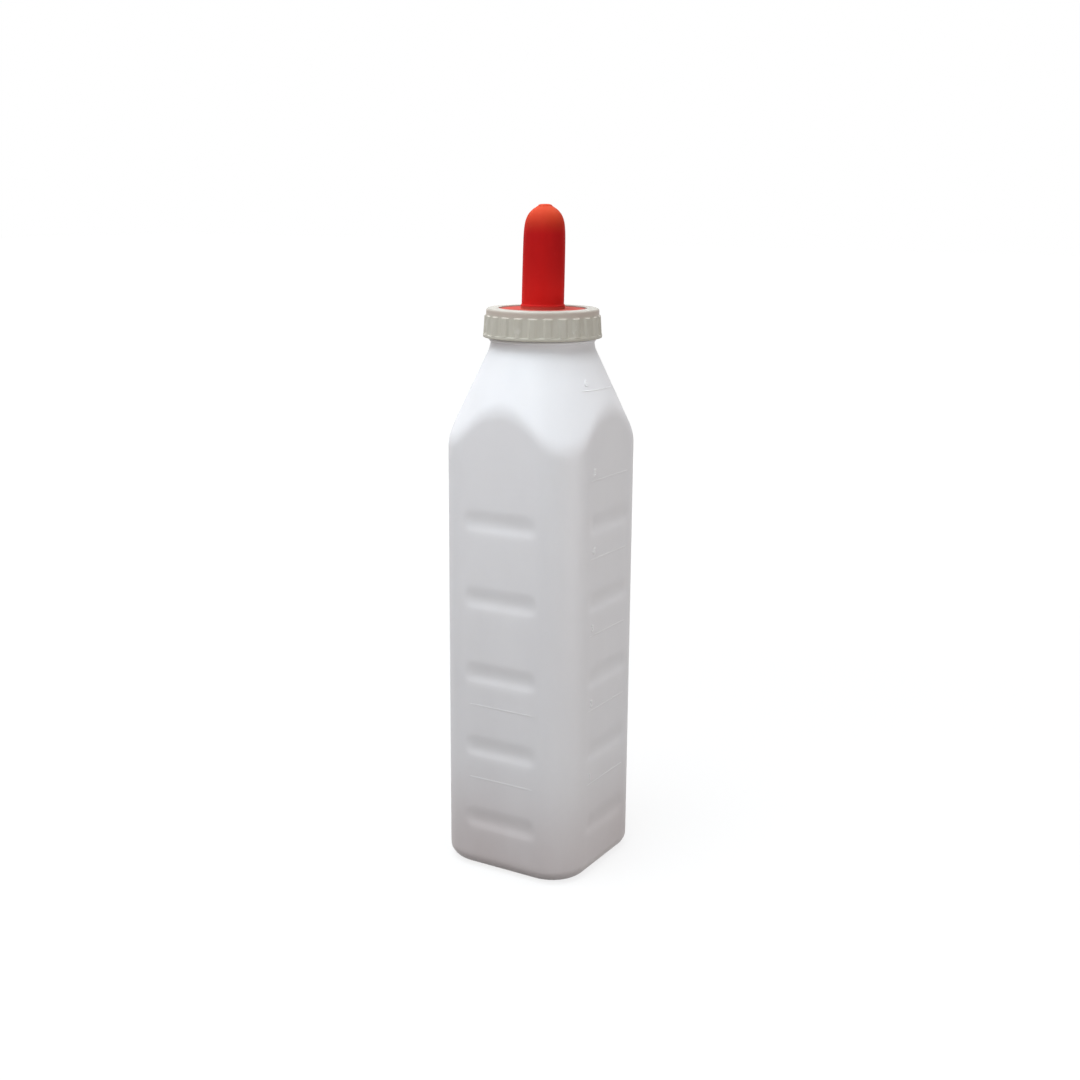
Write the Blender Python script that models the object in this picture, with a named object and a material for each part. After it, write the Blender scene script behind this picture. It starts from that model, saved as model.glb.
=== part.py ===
# Livestock nursing bottle: a square blown bottle, a rubber nipple and a screw ring.
# Metres, +Z up. The origin is the centre of the foot; the plain front face looks along -Y
# and the graduated face along +X.

import math

import bmesh
import bpy

# Body, measured outside
BODY_WIDTH = 0.1020            # across the flat faces
CORNER_RADIUS = 0.0255         # upright edges
HEEL_RADIUS = 0.0090           # from the walls to the foot
WALL = 0.0013                  # blown wall
FOOT_WIDTH = 0.0090            # flat land that the bottle stands on
BASE_RECESS = 0.0060           # height of the base panel above the foot
BASE_SLOPE_WIDTH = 0.0080      # sloping band between the foot and the base panel
BASE_CORNER_RADIUS = 0.0100    # corners of the base panel

# Shoulder: a round cone that meets the four faces in arches
SHOULDER_HEIGHT = 0.3104       # where the cone meets the middle of each face
SHOULDER_ANGLE = math.radians(25.45)   # cone's side from the upright

# Neck and its thread
NECK_RADIUS = 0.0335
NECK_HEIGHT = 0.0192           # from the cone to the lip
NECK_WALL = 0.0020
NECK_FILLET = 0.0016           # softens the corner between cone and neck
LIP_ROUND = 0.0005
BEAD_PROUD = 0.0009            # small bead at the lower edge of the screw ring
BEAD_HEIGHT = 0.0020
BEAD_BELOW_RING = 0.0004       # from the ring's open end to the middle of the bead
NECK_THREAD_TOP = 0.0030       # from the lip down to the thread's upper end

# The matching threads of neck and ring
THREAD_PITCH = 0.00508         # rise in one turn
THREAD_DEPTH = 0.0011          # how far each ridge stands out
THREAD_CLEARANCE = 0.0004      # from each crest to the wall opposite
THREAD_FLANK_GAP = 0.00038
THREAD_START_ANGLE = math.radians(93)   # where both ridges begin, measured from +X
RIDGE_ROOT = 0.0024            # height of a ridge at its root
RIDGE_CREST = 0.0011           # height of a ridge at its crest
RIDGE_END_SHARE = 0.15         # of the full depth, left at a ridge's very ends

# Finger grips pressed into the four faces
GRIP_HEIGHT = 0.0153
GRIP_DEPTH = 0.0012
GRIP_END_MARGIN = 0.0233       # from a grip's end to the side of the face
FIRST_GRIP_HEIGHT = 0.0360

# Graduations, one step of volume apart
MARK_STEP = 0.0507             # between lines on the straight walls, and between grips
FIRST_MARK_HEIGHT = 0.0645
MARK_HALF_LENGTH = 0.0242
MARK_WIDTH = 0.0008
MARK_PROUD = 0.0004
FRONT_MARK_COUNT = 2           # lines repeated on the front face

# Screw ring; its walls are measured outwards from its bore
RING_HEIGHT = 0.0186
RING_PLATE = 0.0020            # top plate over the nipple's flange
RING_COVER = 0.0067            # how far the plate reaches in over the flange
RING_WALL_TOP = 0.0012
RING_WALL_BASE = 0.0024        # where the ribbed wall meets the bead below
RING_TOP_ROUND = 0.0018
RING_BAND_HEIGHT = 0.0046      # plain band above the ribs
RING_RIM_WALL = 0.0033         # bead around the open end
RING_RIM_HEIGHT = 0.0021
RING_EDGE = 0.0004             # small bevels
RING_THREAD_RISE = 0.00236     # from the open end to the start of the ridge
RING_THREAD_SHORTER = 0.25     # turns fewer than the neck's thread
RIB_COUNT = 24
FIRST_RIB_ANGLE = math.radians(5.7)
RIB_WIDTH = 0.0047
RIB_PROUD = 0.0006
RIB_DRAFT = 0.0003             # each side leans in by this much
RIB_CHAMFER = 0.0009           # sloping upper end

# Nipple
SEAT_GAP = 0.0003              # between touching pieces
RUBBER_EDGE = 0.0004           # small bevels
FLANGE_THICKNESS = 0.0024
FLANGE_CLEARANCE = 0.0006      # around the flange, inside the ring
PLATEAU_RECESS = 0.0004        # flange's raised middle, below the ring's top
PLATEAU_CLEARANCE = 0.00045    # around the raised middle, inside the ring's opening
LOCATOR_CLEARANCE = 0.0006     # around the nipple's bead, inside the neck
LOCATOR_WIDTH = 0.0020
LOCATOR_DEPTH = 0.0020
STEM_BASE_RADIUS = 0.0135
STEM_DRAFT = 0.0003            # how much narrower the stem is at its top
COLLAR_WIDTH = 0.0007          # collar around the foot of the stem
COLLAR_HEIGHT = 0.0028
TEAT_LENGTH = 0.0651           # from the flange's raised middle to the tip
DOME_HEIGHT = 0.0201           # from the straight stem to the tip's land
DOME_FULLNESS = 2.8            # 2 is an ellipse, more is fuller
TIP_LAND_RADIUS = 0.0046
TIP_CROWN = 0.0010             # small raised crown on the land
TEAT_WALL = 0.0032
FEED_HOLE_RADIUS = 0.00125
VENT_RADIUS = 0.0008
VENT_DISTANCE = 0.0210         # from the bottle's axis to the vent

# Fineness of the round shapes
CORNER_STEPS = 8
NECK_COLUMNS = 60
RING_COLUMNS = 72
NIPPLE_COLUMNS = 40
VENT_COLUMNS = 8
GRIP_SIDES = 60
HEEL_STEPS = 4
TOP_ROUND_STEPS = 3
CONE_STEPS = 3
MARK_STEPS = 6
DOME_STEPS = 8
INNER_DOME_STEPS = 5
RIDGE_STEP = math.radians(10)
RIDGE_TAPER = math.radians(40)
SINK = 0.0004                  # how far an added shape reaches into its wall

# Radii and heights that follow from the sizes above
HALF_WIDTH = BODY_WIDTH / 2
NECK_BORE_RADIUS = NECK_RADIUS - NECK_WALL
NECK_THREAD_RADIUS = NECK_RADIUS + THREAD_DEPTH
RING_BORE_RADIUS = NECK_THREAD_RADIUS + THREAD_CLEARANCE
RING_THREAD_RADIUS = RING_BORE_RADIUS - THREAD_DEPTH
RING_OPENING_RADIUS = RING_BORE_RADIUS - RING_COVER
NECK_BASE = SHOULDER_HEIGHT + (HALF_WIDTH - NECK_RADIUS) / math.tan(SHOULDER_ANGLE)
LIP = NECK_BASE + NECK_HEIGHT
FLANGE_BOTTOM = LIP + SEAT_GAP
FLANGE_TOP = FLANGE_BOTTOM + FLANGE_THICKNESS
RING_TOP = FLANGE_TOP + SEAT_GAP + RING_PLATE
RING_BOTTOM = RING_TOP - RING_HEIGHT
PLATEAU = RING_TOP - PLATEAU_RECESS
TEAT_TIP = PLATEAU + TEAT_LENGTH


def clear_scene():
    for thing in list(bpy.data.objects):
        bpy.data.objects.remove(thing, do_unlink=True)


def material(name, colour, roughness):
    made = bpy.data.materials.new(name)
    made.use_nodes = True
    surface = made.node_tree.nodes["Principled BSDF"]
    surface.inputs["Base Color"].default_value = (*colour, 1.0)
    surface.inputs["Roughness"].default_value = roughness
    surface.inputs["Metallic"].default_value = 0.0
    return made


def loft(name, rings, closed=False):
    """Joins a stack of rings, listed upwards, and caps both ends or joins the last to the first."""
    shape = bmesh.new()
    rows = [[shape.verts.new(point) for point in ring] for ring in rings]
    pairs = list(zip(rows, rows[1:]))
    if closed:
        pairs.append((rows[-1], rows[0]))
    for lower, upper in pairs:
        for i in range(len(lower)):
            j = (i + 1) % len(lower)
            shape.faces.new((lower[i], lower[j], upper[j], upper[i]))
    if not closed:
        shape.faces.new(rows[0])
        shape.faces.new(rows[-1])
    bmesh.ops.recalc_face_normals(shape, faces=shape.faces[:])
    mesh = bpy.data.meshes.new(name)
    shape.to_mesh(mesh)
    shape.free()
    mesh.shade_smooth()
    mesh.set_sharp_from_angle(angle=math.radians(35))
    return mesh


def turned(name, profile, columns):
    """Turns a closed outline of (radius, height) points, listed up its outer side, about Z."""
    angles = [math.tau * i / columns for i in range(columns)]
    rings = [[(r * math.cos(a), r * math.sin(a), z) for a in angles] for r, z in profile]
    return loft(name, rings, closed=True)


def joined(name, meshes):
    """One mesh that holds separate shapes, used as a cutter or an addition."""
    shape = bmesh.new()
    for mesh in meshes:
        shape.from_mesh(mesh)
        bpy.data.meshes.remove(mesh)
    whole = bpy.data.meshes.new(name)
    shape.to_mesh(whole)
    shape.free()
    return whole


def add_object(name, mesh, look=None, height=0.0):
    """An object whose origin is on the bottle's axis at the height given."""
    thing = bpy.data.objects.new(name, mesh)
    for vertex in mesh.vertices:
        vertex.co.z -= height
    thing.location.z = height
    bpy.context.scene.collection.objects.link(thing)
    if look is None:
        thing.hide_render = True
        thing.display_type = 'WIRE'
    else:
        mesh.materials.append(look)
    return thing


def combine(thing, tool, operation):
    step = thing.modifiers.new(tool.name, 'BOOLEAN')
    step.operation = operation
    step.solver = 'EXACT'
    step.object = tool


def square_reach(angle, half, corner):
    """Distance from the axis to the edge of a rounded square, in the direction given."""
    turn = abs((angle + math.pi / 4) % (math.pi / 2) - math.pi / 4)
    flat = half - corner
    if half * math.tan(turn) <= flat:
        return half / math.cos(turn)
    along = flat * (math.cos(turn) + math.sin(turn))
    return along + math.sqrt(along ** 2 - 2 * flat ** 2 + corner ** 2)


def cone_radius(height, inset=0.0):
    """Radius of the shoulder's cone; inset is the wall's thickness on its inner side."""
    outer = HALF_WIDTH + (SHOULDER_HEIGHT - height) * math.tan(SHOULDER_ANGLE)
    return outer - inset / math.cos(SHOULDER_ANGLE)


def cone_height(radius, inset=0.0):
    """Height at which the cone has the radius given."""
    return SHOULDER_HEIGHT + (cone_radius(SHOULDER_HEIGHT, inset) - radius) / math.tan(SHOULDER_ANGLE)


def body_reach(angle, height, inset):
    """Distance from the axis to the wall, which is the square or the cone, whichever is less."""
    side = square_reach(angle, HALF_WIDTH - inset, CORNER_RADIUS - inset)
    return min(side, cone_radius(height, inset))


def shoulder_start():
    """Height at which the cone reaches the bottle's upright edges."""
    return cone_height(square_reach(math.pi / 4, HALF_WIDTH, CORNER_RADIUS))


def circle(radius, height, columns=NECK_COLUMNS):
    angles = [math.tau * i / columns for i in range(columns)]
    return [(radius * math.cos(a), radius * math.sin(a), height) for a in angles]


def rounded_square(half, corner, height):
    points = []
    for quarter in range(4):
        for i in range(CORNER_STEPS + 1):
            angle = math.pi / 2 * (quarter + i / CORNER_STEPS)
            middle = math.pi / 4 * (2 * quarter + 1)
            reach = (half - corner) * math.sqrt(2)
            x = reach * math.cos(middle) + corner * math.cos(angle)
            y = reach * math.sin(middle) + corner * math.sin(angle)
            points.append((x, y, height))
    return points


def square_shape(name, inset, top):
    """The square body from its raised base panel up; inset moves it all inwards by a wall."""
    panel_half = HALF_WIDTH - HEEL_RADIUS - FOOT_WIDTH - BASE_SLOPE_WIDTH
    rows = [
        rounded_square(panel_half, BASE_CORNER_RADIUS, inset + BASE_RECESS),
        rounded_square(panel_half + BASE_SLOPE_WIDTH, BASE_CORNER_RADIUS + BASE_SLOPE_WIDTH, inset),
    ]
    radius = HEEL_RADIUS - inset
    for i in range(HEEL_STEPS + 1):
        turn = math.pi / 2 * i / HEEL_STEPS
        inward = inset + radius * (1 - math.sin(turn))
        height = inset + radius * (1 - math.cos(turn))
        rows.append(rounded_square(HALF_WIDTH - inward, CORNER_RADIUS - inward, height))
    rows.append(rounded_square(HALF_WIDTH - inset, CORNER_RADIUS - inset, top))
    return loft(name, rows)


def shoulder_shape():
    """Everything inside the round cone and the neck, up to the lip."""
    bead = RING_BOTTOM - BEAD_BELOW_RING
    bead_radius = NECK_RADIUS + BEAD_PROUD
    cone_top = NECK_BASE - NECK_FILLET
    cone_rise = (cone_top - SHOULDER_HEIGHT) / CONE_STEPS
    rows = [circle(cone_radius(-HEEL_RADIUS), -HEEL_RADIUS)]
    for i in range(CONE_STEPS + 1):
        height = SHOULDER_HEIGHT + cone_rise * i
        rows.append(circle(cone_radius(height), height))
    rows += [
        circle(NECK_RADIUS, NECK_BASE + NECK_FILLET / 2),
        circle(NECK_RADIUS, bead - BEAD_HEIGHT / 2),
        circle(bead_radius, bead - BEAD_HEIGHT / 4),
        circle(bead_radius, bead + BEAD_HEIGHT / 4),
        circle(NECK_RADIUS, bead + BEAD_HEIGHT / 2),
        circle(NECK_RADIUS, LIP - LIP_ROUND),
        circle(NECK_RADIUS - LIP_ROUND, LIP),
    ]
    return loft("shoulder", rows)


def bore_shape():
    """The inside of the shoulder and neck, running out past the lip."""
    rows = [
        circle(cone_radius(-HEEL_RADIUS, WALL), -HEEL_RADIUS),
        circle(NECK_BORE_RADIUS, cone_height(NECK_BORE_RADIUS, WALL)),
        circle(NECK_BORE_RADIUS, LIP + NECK_WALL),
    ]
    return loft("bore", rows)


def grip_heights():
    """As many grips as the straight walls take, one for each step of the scale."""
    room = shoulder_start() - GRIP_HEIGHT / 2 - FIRST_GRIP_HEIGHT
    return [FIRST_GRIP_HEIGHT + MARK_STEP * i for i in range(int(room / MARK_STEP) + 1)]


def grip_shapes(extra):
    """Round-ended bars, sunk into the faces; extra thickens them for the wall behind a grip."""
    bar_radius = (GRIP_HEIGHT ** 2 / 4 + GRIP_DEPTH ** 2) / (2 * GRIP_DEPTH)
    distance = HALF_WIDTH + bar_radius - GRIP_DEPTH
    half_length = HALF_WIDTH - GRIP_END_MARGIN - GRIP_HEIGHT / 2
    bars = []
    for face in range(4):
        for height in grip_heights():
            mesh = round_ended_bar(bar_radius + extra, half_length)
            for vertex in mesh.vertices:
                along, depth, rise = vertex.co
                turn = math.pi / 2 * face
                x, y = distance + depth, -along
                vertex.co.x = x * math.cos(turn) - y * math.sin(turn)
                vertex.co.y = x * math.sin(turn) + y * math.cos(turn)
                vertex.co.z = rise + height
            bars.append(mesh)
    return bars


def round_ended_bar(radius, half_length):
    """A bar along X with domed ends."""
    rings = []
    angles = [math.tau * i / GRIP_SIDES for i in range(GRIP_SIDES)]
    leans = [math.tau * i / GRIP_SIDES for i in range(GRIP_SIDES // 4)]
    for side, ordered in ((-1, reversed(leans)), (1, leans)):
        for lean in ordered:
            x = side * (half_length + radius * math.sin(lean))
            spread = radius * math.cos(lean)
            rings.append([(x, spread * math.cos(a), spread * math.sin(a)) for a in angles])
    return loft("bar", rings)


def wall_strip(low, high, middle, half_angle, proud):
    """A raised line that follows the wall, level all the way, between two directions."""
    rings = []
    for i in range(MARK_STEPS + 1):
        angle = middle + half_angle * (2 * i / MARK_STEPS - 1)
        corners = ((low, SINK), (low, -proud), (high, -proud), (high, SINK))
        ring = []
        for height, inset in corners:
            reach = body_reach(angle, height, inset)
            ring.append((reach * math.cos(angle), reach * math.sin(angle), height))
        rings.append(ring)
    return loft("strip", rings)


def section_area(height):
    """Area inside the wall at a height, for spacing the scale on the shoulder."""
    samples = 180
    reaches = [body_reach(math.tau * (i + 0.5) / samples, height, WALL) for i in range(samples)]
    return sum(reach ** 2 for reach in reaches) * math.pi / samples


def straight_mark_heights():
    room = shoulder_start() - FIRST_MARK_HEIGHT
    return [FIRST_MARK_HEIGHT + MARK_STEP * i for i in range(int(room / MARK_STEP) + 1)]


def shoulder_mark_height():
    """The next equal volume above the last straight line."""
    height = straight_mark_heights()[-1]
    wanted = MARK_STEP * section_area(height)
    slice_height = 0.0005
    filled = 0.0
    while filled < wanted and height < NECK_BASE - MARK_STEP / 4:
        filled += slice_height * section_area(height + slice_height / 2)
        height += slice_height
    return height


def graduation_shapes():
    strips = []
    marks = straight_mark_heights()
    lines = [(height, 0.0) for height in marks + [shoulder_mark_height()]]
    lines += [(height, -math.pi / 2) for height in marks[:FRONT_MARK_COUNT]]
    for height, facing in lines:
        half_angle = math.atan(MARK_HALF_LENGTH / HALF_WIDTH)
        low, high = height - MARK_WIDTH / 2, height + MARK_WIDTH / 2
        strips.append(wall_strip(low, high, facing, half_angle, MARK_PROUD))
    return strips


def thread_ridge(wall_radius, crest_radius, start, turns):
    """One helical ridge that grows out of a round wall and fades at both ends."""
    outward = 1 if crest_radius > wall_radius else -1
    steps = round(math.tau * turns / RIDGE_STEP)
    rings = []
    for i in range(steps + 1):
        wound = math.tau * turns * i / steps
        from_end = min(wound, math.tau * turns - wound)
        grown = min(1.0, RIDGE_END_SHARE + from_end / RIDGE_TAPER)
        height = start + THREAD_PITCH * wound / math.tau
        root = wall_radius - outward * SINK
        crest = wall_radius + (crest_radius - wall_radius) * grown
        outline = ((root, -RIDGE_ROOT), (crest, -RIDGE_CREST), (crest, RIDGE_CREST), (root, RIDGE_ROOT))
        angle = THREAD_START_ANGLE + wound
        rings.append([(r * math.cos(angle), r * math.sin(angle), height + rise / 2)
                      for r, rise in outline])
    return loft("ridge", rings)


def ring_thread_start():
    return RING_BOTTOM + RING_THREAD_RISE


def neck_thread_start():
    """The neck's ridge lies just above the ring's, so that the ring bears up against it."""
    meeting = (THREAD_DEPTH + THREAD_CLEARANCE) / (2 * THREAD_DEPTH)
    spacing = RIDGE_ROOT - (RIDGE_ROOT - RIDGE_CREST) * meeting + THREAD_FLANK_GAP
    return ring_thread_start() + spacing


def neck_thread_turns():
    """As many turns as the neck has room for."""
    return (LIP - NECK_THREAD_TOP - neck_thread_start()) / THREAD_PITCH


def make_bottle(look):
    over_lip = LIP + 2 * NECK_WALL
    bottle = add_object("bottle", square_shape("bottle", 0.0, over_lip), look)
    shoulder = add_object("shoulder", shoulder_shape())
    grips = add_object("grip_cutters", joined("grip_cutters", grip_shapes(0.0)))
    grip_backs = add_object("grip_backs", joined("grip_backs", grip_shapes(WALL)))
    cavity = add_object("cavity", square_shape("cavity", WALL, over_lip))
    bore = add_object("bore", bore_shape())
    lines = add_object("graduations", joined("graduations", graduation_shapes()))
    ridge = thread_ridge(NECK_RADIUS, NECK_THREAD_RADIUS, neck_thread_start(), neck_thread_turns())
    thread = add_object("neck_thread", ridge)
    combine(cavity, bore, 'INTERSECT')
    combine(cavity, grip_backs, 'DIFFERENCE')
    combine(bottle, shoulder, 'INTERSECT')
    combine(bottle, grips, 'DIFFERENCE')
    combine(bottle, lines, 'UNION')
    combine(bottle, thread, 'UNION')
    combine(bottle, cavity, 'DIFFERENCE')
    return bottle


def dome_outline(radius, base, height, land_radius, steps):
    """Points up the side of a full dome, from its base to the edge of a small flat land."""
    outline = []
    land_rise = (1 - (land_radius / radius) ** 2) ** (1 / DOME_FULLNESS)
    for i in range(steps + 1):
        share = math.sin(math.pi / 2 * i / steps)
        across = radius * math.sqrt(1 - (land_rise * share) ** DOME_FULLNESS)
        outline.append((across, base + height * share))
    return outline


def make_nipple(look):
    flange_radius = RING_BORE_RADIUS - FLANGE_CLEARANCE
    plateau_radius = RING_OPENING_RADIUS - PLATEAU_CLEARANCE
    locator_radius = NECK_BORE_RADIUS - LOCATOR_CLEARANCE
    underside = PLATEAU - FLANGE_THICKNESS
    edge = RUBBER_EDGE
    collar_radius = STEM_BASE_RADIUS + COLLAR_WIDTH
    collar_top = PLATEAU + COLLAR_HEIGHT
    stem_top_radius = STEM_BASE_RADIUS - STEM_DRAFT
    dome_base = TEAT_TIP - TIP_CROWN - DOME_HEIGHT
    bore_base_radius = STEM_BASE_RADIUS - TEAT_WALL
    bore_top_radius = stem_top_radius - TEAT_WALL
    locator_foot = FLANGE_BOTTOM - LOCATOR_DEPTH
    outside = [
        (locator_radius, FLANGE_BOTTOM),
        (flange_radius - edge, FLANGE_BOTTOM),
        (flange_radius, FLANGE_BOTTOM + edge),
        (flange_radius, FLANGE_TOP - edge),
        (flange_radius - edge, FLANGE_TOP),
        (plateau_radius, FLANGE_TOP),
        (plateau_radius, PLATEAU - edge),
        (plateau_radius - edge, PLATEAU),
        (collar_radius, PLATEAU),
        (collar_radius, collar_top - edge),
        (collar_radius - edge, collar_top),
        (STEM_BASE_RADIUS, collar_top),
    ]
    outside += dome_outline(stem_top_radius, dome_base, DOME_HEIGHT, TIP_LAND_RADIUS, DOME_STEPS)
    crown_radius = (TIP_LAND_RADIUS + FEED_HOLE_RADIUS) / 2
    outside += [(crown_radius, TEAT_TIP), (FEED_HOLE_RADIUS, TEAT_TIP)]
    inner_dome = dome_outline(
        bore_top_radius, dome_base, DOME_HEIGHT - TEAT_WALL, FEED_HOLE_RADIUS, INNER_DOME_STEPS)
    inside = list(reversed(inner_dome)) + [
        (bore_base_radius, PLATEAU),
        (bore_base_radius + FLANGE_THICKNESS, underside),
        (locator_radius - 2 * LOCATOR_WIDTH, underside),
        (locator_radius - LOCATOR_WIDTH - edge, FLANGE_BOTTOM),
        (locator_radius - LOCATOR_WIDTH, locator_foot),
        (locator_radius - edge, locator_foot),
    ]
    nipple = add_object("nipple", turned("nipple", outside + inside, NIPPLE_COLUMNS), look, LIP)
    vent_ends = (LIP, RING_TOP + FLANGE_THICKNESS)
    vent_mesh = loft("vent", [circle(VENT_RADIUS, height, VENT_COLUMNS) for height in vent_ends])
    for vertex in vent_mesh.vertices:
        vertex.co.y += VENT_DISTANCE
    combine(nipple, add_object("vent", vent_mesh), 'DIFFERENCE')
    return nipple


def rib_shape(angle, wall):
    """One upright rib with a chamfered upper end, on a wall that runs between two points."""
    (low_radius, low), (high_radius, high) = wall

    def wall_radius(height):
        return low_radius + (high_radius - low_radius) * (height - low) / (high - low)

    top = RING_TOP - RING_BAND_HEIGHT
    shoulder = top - RIB_CHAMFER
    foot = low - RING_RIM_HEIGHT / 3
    side_view = [
        (wall_radius(foot) - SINK, foot, 0.0),
        (wall_radius(foot) + RIB_PROUD, foot, RIB_DRAFT),
        (wall_radius(shoulder) + RIB_PROUD, shoulder, RIB_DRAFT),
        (wall_radius(top) - SINK, top + RIB_CHAMFER / 2, 0.0),
    ]
    rings = []
    for side in (-1, 1):
        ring = []
        for radius, height, draft in side_view:
            across = side * (RIB_WIDTH / 2 - draft)
            x = radius * math.cos(angle) - across * math.sin(angle)
            y = radius * math.sin(angle) + across * math.cos(angle)
            ring.append((x, y, height))
        rings.append(ring)
    return loft("rib", rings)


def make_ring(look):
    rim_top = RING_BOTTOM + RING_RIM_HEIGHT
    rim_radius = RING_BORE_RADIUS + RING_RIM_WALL
    base_radius = RING_BORE_RADIUS + RING_WALL_BASE
    plate_bottom = RING_TOP - RING_PLATE
    rounding = []
    for i in range(TOP_ROUND_STEPS + 1):
        turn = math.pi / 2 * i / TOP_ROUND_STEPS
        radius = RING_BORE_RADIUS + RING_WALL_TOP - RING_TOP_ROUND * (1 - math.cos(turn))
        rounding.append((radius, RING_TOP - RING_TOP_ROUND * (1 - math.sin(turn))))
    profile = [
        (RING_BORE_RADIUS + RING_EDGE, RING_BOTTOM),
        (rim_radius - RING_EDGE, RING_BOTTOM),
        (rim_radius, RING_BOTTOM + RING_EDGE),
        (rim_radius, rim_top - RING_EDGE),
        (base_radius, rim_top),
    ]
    profile += rounding
    profile += [
        (RING_OPENING_RADIUS + RING_EDGE, RING_TOP),
        (RING_OPENING_RADIUS, RING_TOP - RING_EDGE),
        (RING_OPENING_RADIUS, plate_bottom),
        (RING_BORE_RADIUS, plate_bottom),
        (RING_BORE_RADIUS, RING_BOTTOM + RING_EDGE),
    ]
    ring = add_object("cap_ring", turned("cap_ring", profile, RING_COLUMNS), look, LIP)
    wall = ((base_radius, rim_top), rounding[0])
    angles = [FIRST_RIB_ANGLE + math.tau * i / RIB_COUNT for i in range(RIB_COUNT)]
    ribs = [rib_shape(angle, wall) for angle in angles]
    combine(ring, add_object("ring_ribs", joined("ring_ribs", ribs)), 'UNION')
    turns = neck_thread_turns() - RING_THREAD_SHORTER
    ridge = thread_ridge(RING_BORE_RADIUS, RING_THREAD_RADIUS, ring_thread_start(), turns)
    combine(ring, add_object("ring_thread", ridge), 'UNION')
    return ring


clear_scene()
make_bottle(material("bottle_plastic", (0.83, 0.83, 0.84), 0.38))
make_nipple(material("nipple_rubber", (0.55, 0.02, 0.02), 0.42))
make_ring(material("ring_plastic", (0.55, 0.54, 0.48), 0.45))
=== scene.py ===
import math
import bmesh
import bpy
from mathutils import Matrix, Vector


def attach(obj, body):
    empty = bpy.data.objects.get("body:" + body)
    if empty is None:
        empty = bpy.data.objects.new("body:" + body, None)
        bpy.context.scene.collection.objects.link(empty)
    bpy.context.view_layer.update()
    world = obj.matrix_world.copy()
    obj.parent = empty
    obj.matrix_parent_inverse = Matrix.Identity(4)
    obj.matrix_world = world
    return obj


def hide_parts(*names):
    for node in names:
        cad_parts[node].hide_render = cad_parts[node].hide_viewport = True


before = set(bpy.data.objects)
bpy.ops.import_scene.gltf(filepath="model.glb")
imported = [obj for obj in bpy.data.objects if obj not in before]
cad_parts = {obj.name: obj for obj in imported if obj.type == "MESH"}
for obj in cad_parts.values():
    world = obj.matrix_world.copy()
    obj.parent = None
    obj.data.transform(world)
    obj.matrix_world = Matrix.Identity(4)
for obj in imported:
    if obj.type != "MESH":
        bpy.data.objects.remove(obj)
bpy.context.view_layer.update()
print("frame loaded with", ", ".join(sorted(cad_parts)))

scene = bpy.context.scene
scene.view_settings.view_transform = "Standard"

# camera, fitted to the photo; pitch, yaw and roll are in radians
cameraView = {
    "distance": 0.9464,      # from the bottle's axis, level with the floor
    "height": 0.4398,
    "azimuth": 30.67,        # degrees from the front face towards the graduated one
    "pitch": 0.2296,
    "yaw": -0.0008,
    "roll": 0.0069,
    "lens": 48.82,
    "sensor": 36.0,
}


def addCamera(view):
    around = math.radians(view["azimuth"])
    data = bpy.data.cameras.new("photoCamera")
    data.lens = view["lens"]
    data.sensor_width = view["sensor"]
    data.clip_start = 0.01
    data.clip_end = 50.0
    camera = bpy.data.objects.new("photoCamera", data)
    place = Matrix.Translation((view["distance"] * math.sin(around), -view["distance"] * math.cos(around),
                                view["height"]))
    turn = Matrix.Rotation(around - view["yaw"], 4, "Z")
    tilt = Matrix.Rotation(math.pi / 2 - view["pitch"], 4, "X")
    camera.matrix_world = place @ (turn @ tilt) @ Matrix.Rotation(view["roll"], 4, "Z")
    scene.collection.objects.link(camera)
    scene.camera = camera


addCamera(cameraView)
print("camera placed")


# shared helpers for meshes

def smoothStep(low, high, value):
    share = min(1.0, max(0.0, (value - low) / (high - low)))
    return share * share * (3 - 2 * share)


def smoothMin(a, b, blend):
    near = max(blend - abs(a - b), 0.0) / blend
    return min(a, b) - near * near * blend / 4


def smoothMax(a, b, blend):
    return -smoothMin(-a, -b, blend)


def loftRows(name, rows, loop=False):
    # rows run up the outside and down the inside, columns run anticlockwise; a row of one point is a pole
    points = []
    starts = []
    for row in rows:
        starts.append(len(points))
        points += row
    faces = []
    pairs = list(zip(range(len(rows) - 1), range(1, len(rows))))
    if loop:
        pairs.append((len(rows) - 1, 0))
    for low, high in pairs:
        lowCount, highCount = len(rows[low]), len(rows[high])
        count = max(lowCount, highCount)
        for i in range(count):
            j = (i + 1) % count
            corners = [starts[low] + i % lowCount]
            if lowCount > 1:
                corners.append(starts[low] + j)
            corners.append(starts[high] + j % highCount)
            if highCount > 1:
                corners.append(starts[high] + i)
            faces.append(corners)
    mesh = bpy.data.meshes.new(name)
    mesh.from_pydata(points, [], faces)
    mesh.shade_smooth()
    return mesh


def newObject(name, mesh, material):
    mesh.materials.clear()
    mesh.materials.append(material)
    piece = bpy.data.objects.new(name, mesh)
    scene.collection.objects.link(piece)
    return piece


def evenAngles(count, extra=()):
    angles = [math.tau * i / count for i in range(count)]
    return sorted(angles + [a % math.tau for a in extra])


def turnedRows(profile, angles):
    return [[(r * math.cos(a), r * math.sin(a), z) for a in angles] for r, z in profile]


def roundedProfile(points, steps, most=0.48):
    # points are (radius, height, rounding); every corner with a rounding becomes a small arc, which
    # takes up no more than this share of the sides beside it
    smooth = []
    count = len(points)
    for i, (x, z, rounding) in enumerate(points):
        if rounding <= 0:
            smooth.append((x, z))
            continue
        here = Vector((x, z))
        before = Vector(points[i - 1][:2]) - here
        after = Vector(points[(i + 1) % count][:2]) - here
        half = before.angle(after) / 2
        reach = min(rounding / math.tan(half), before.length * most, after.length * most)
        start = here + before.normalized() * reach
        end = here + after.normalized() * reach
        for k in range(steps + 1):
            t = k / steps
            spot = start.lerp(here, t).lerp(here.lerp(end, t), t)
            smooth.append((spot.x, spot.y))
    return smooth


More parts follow.
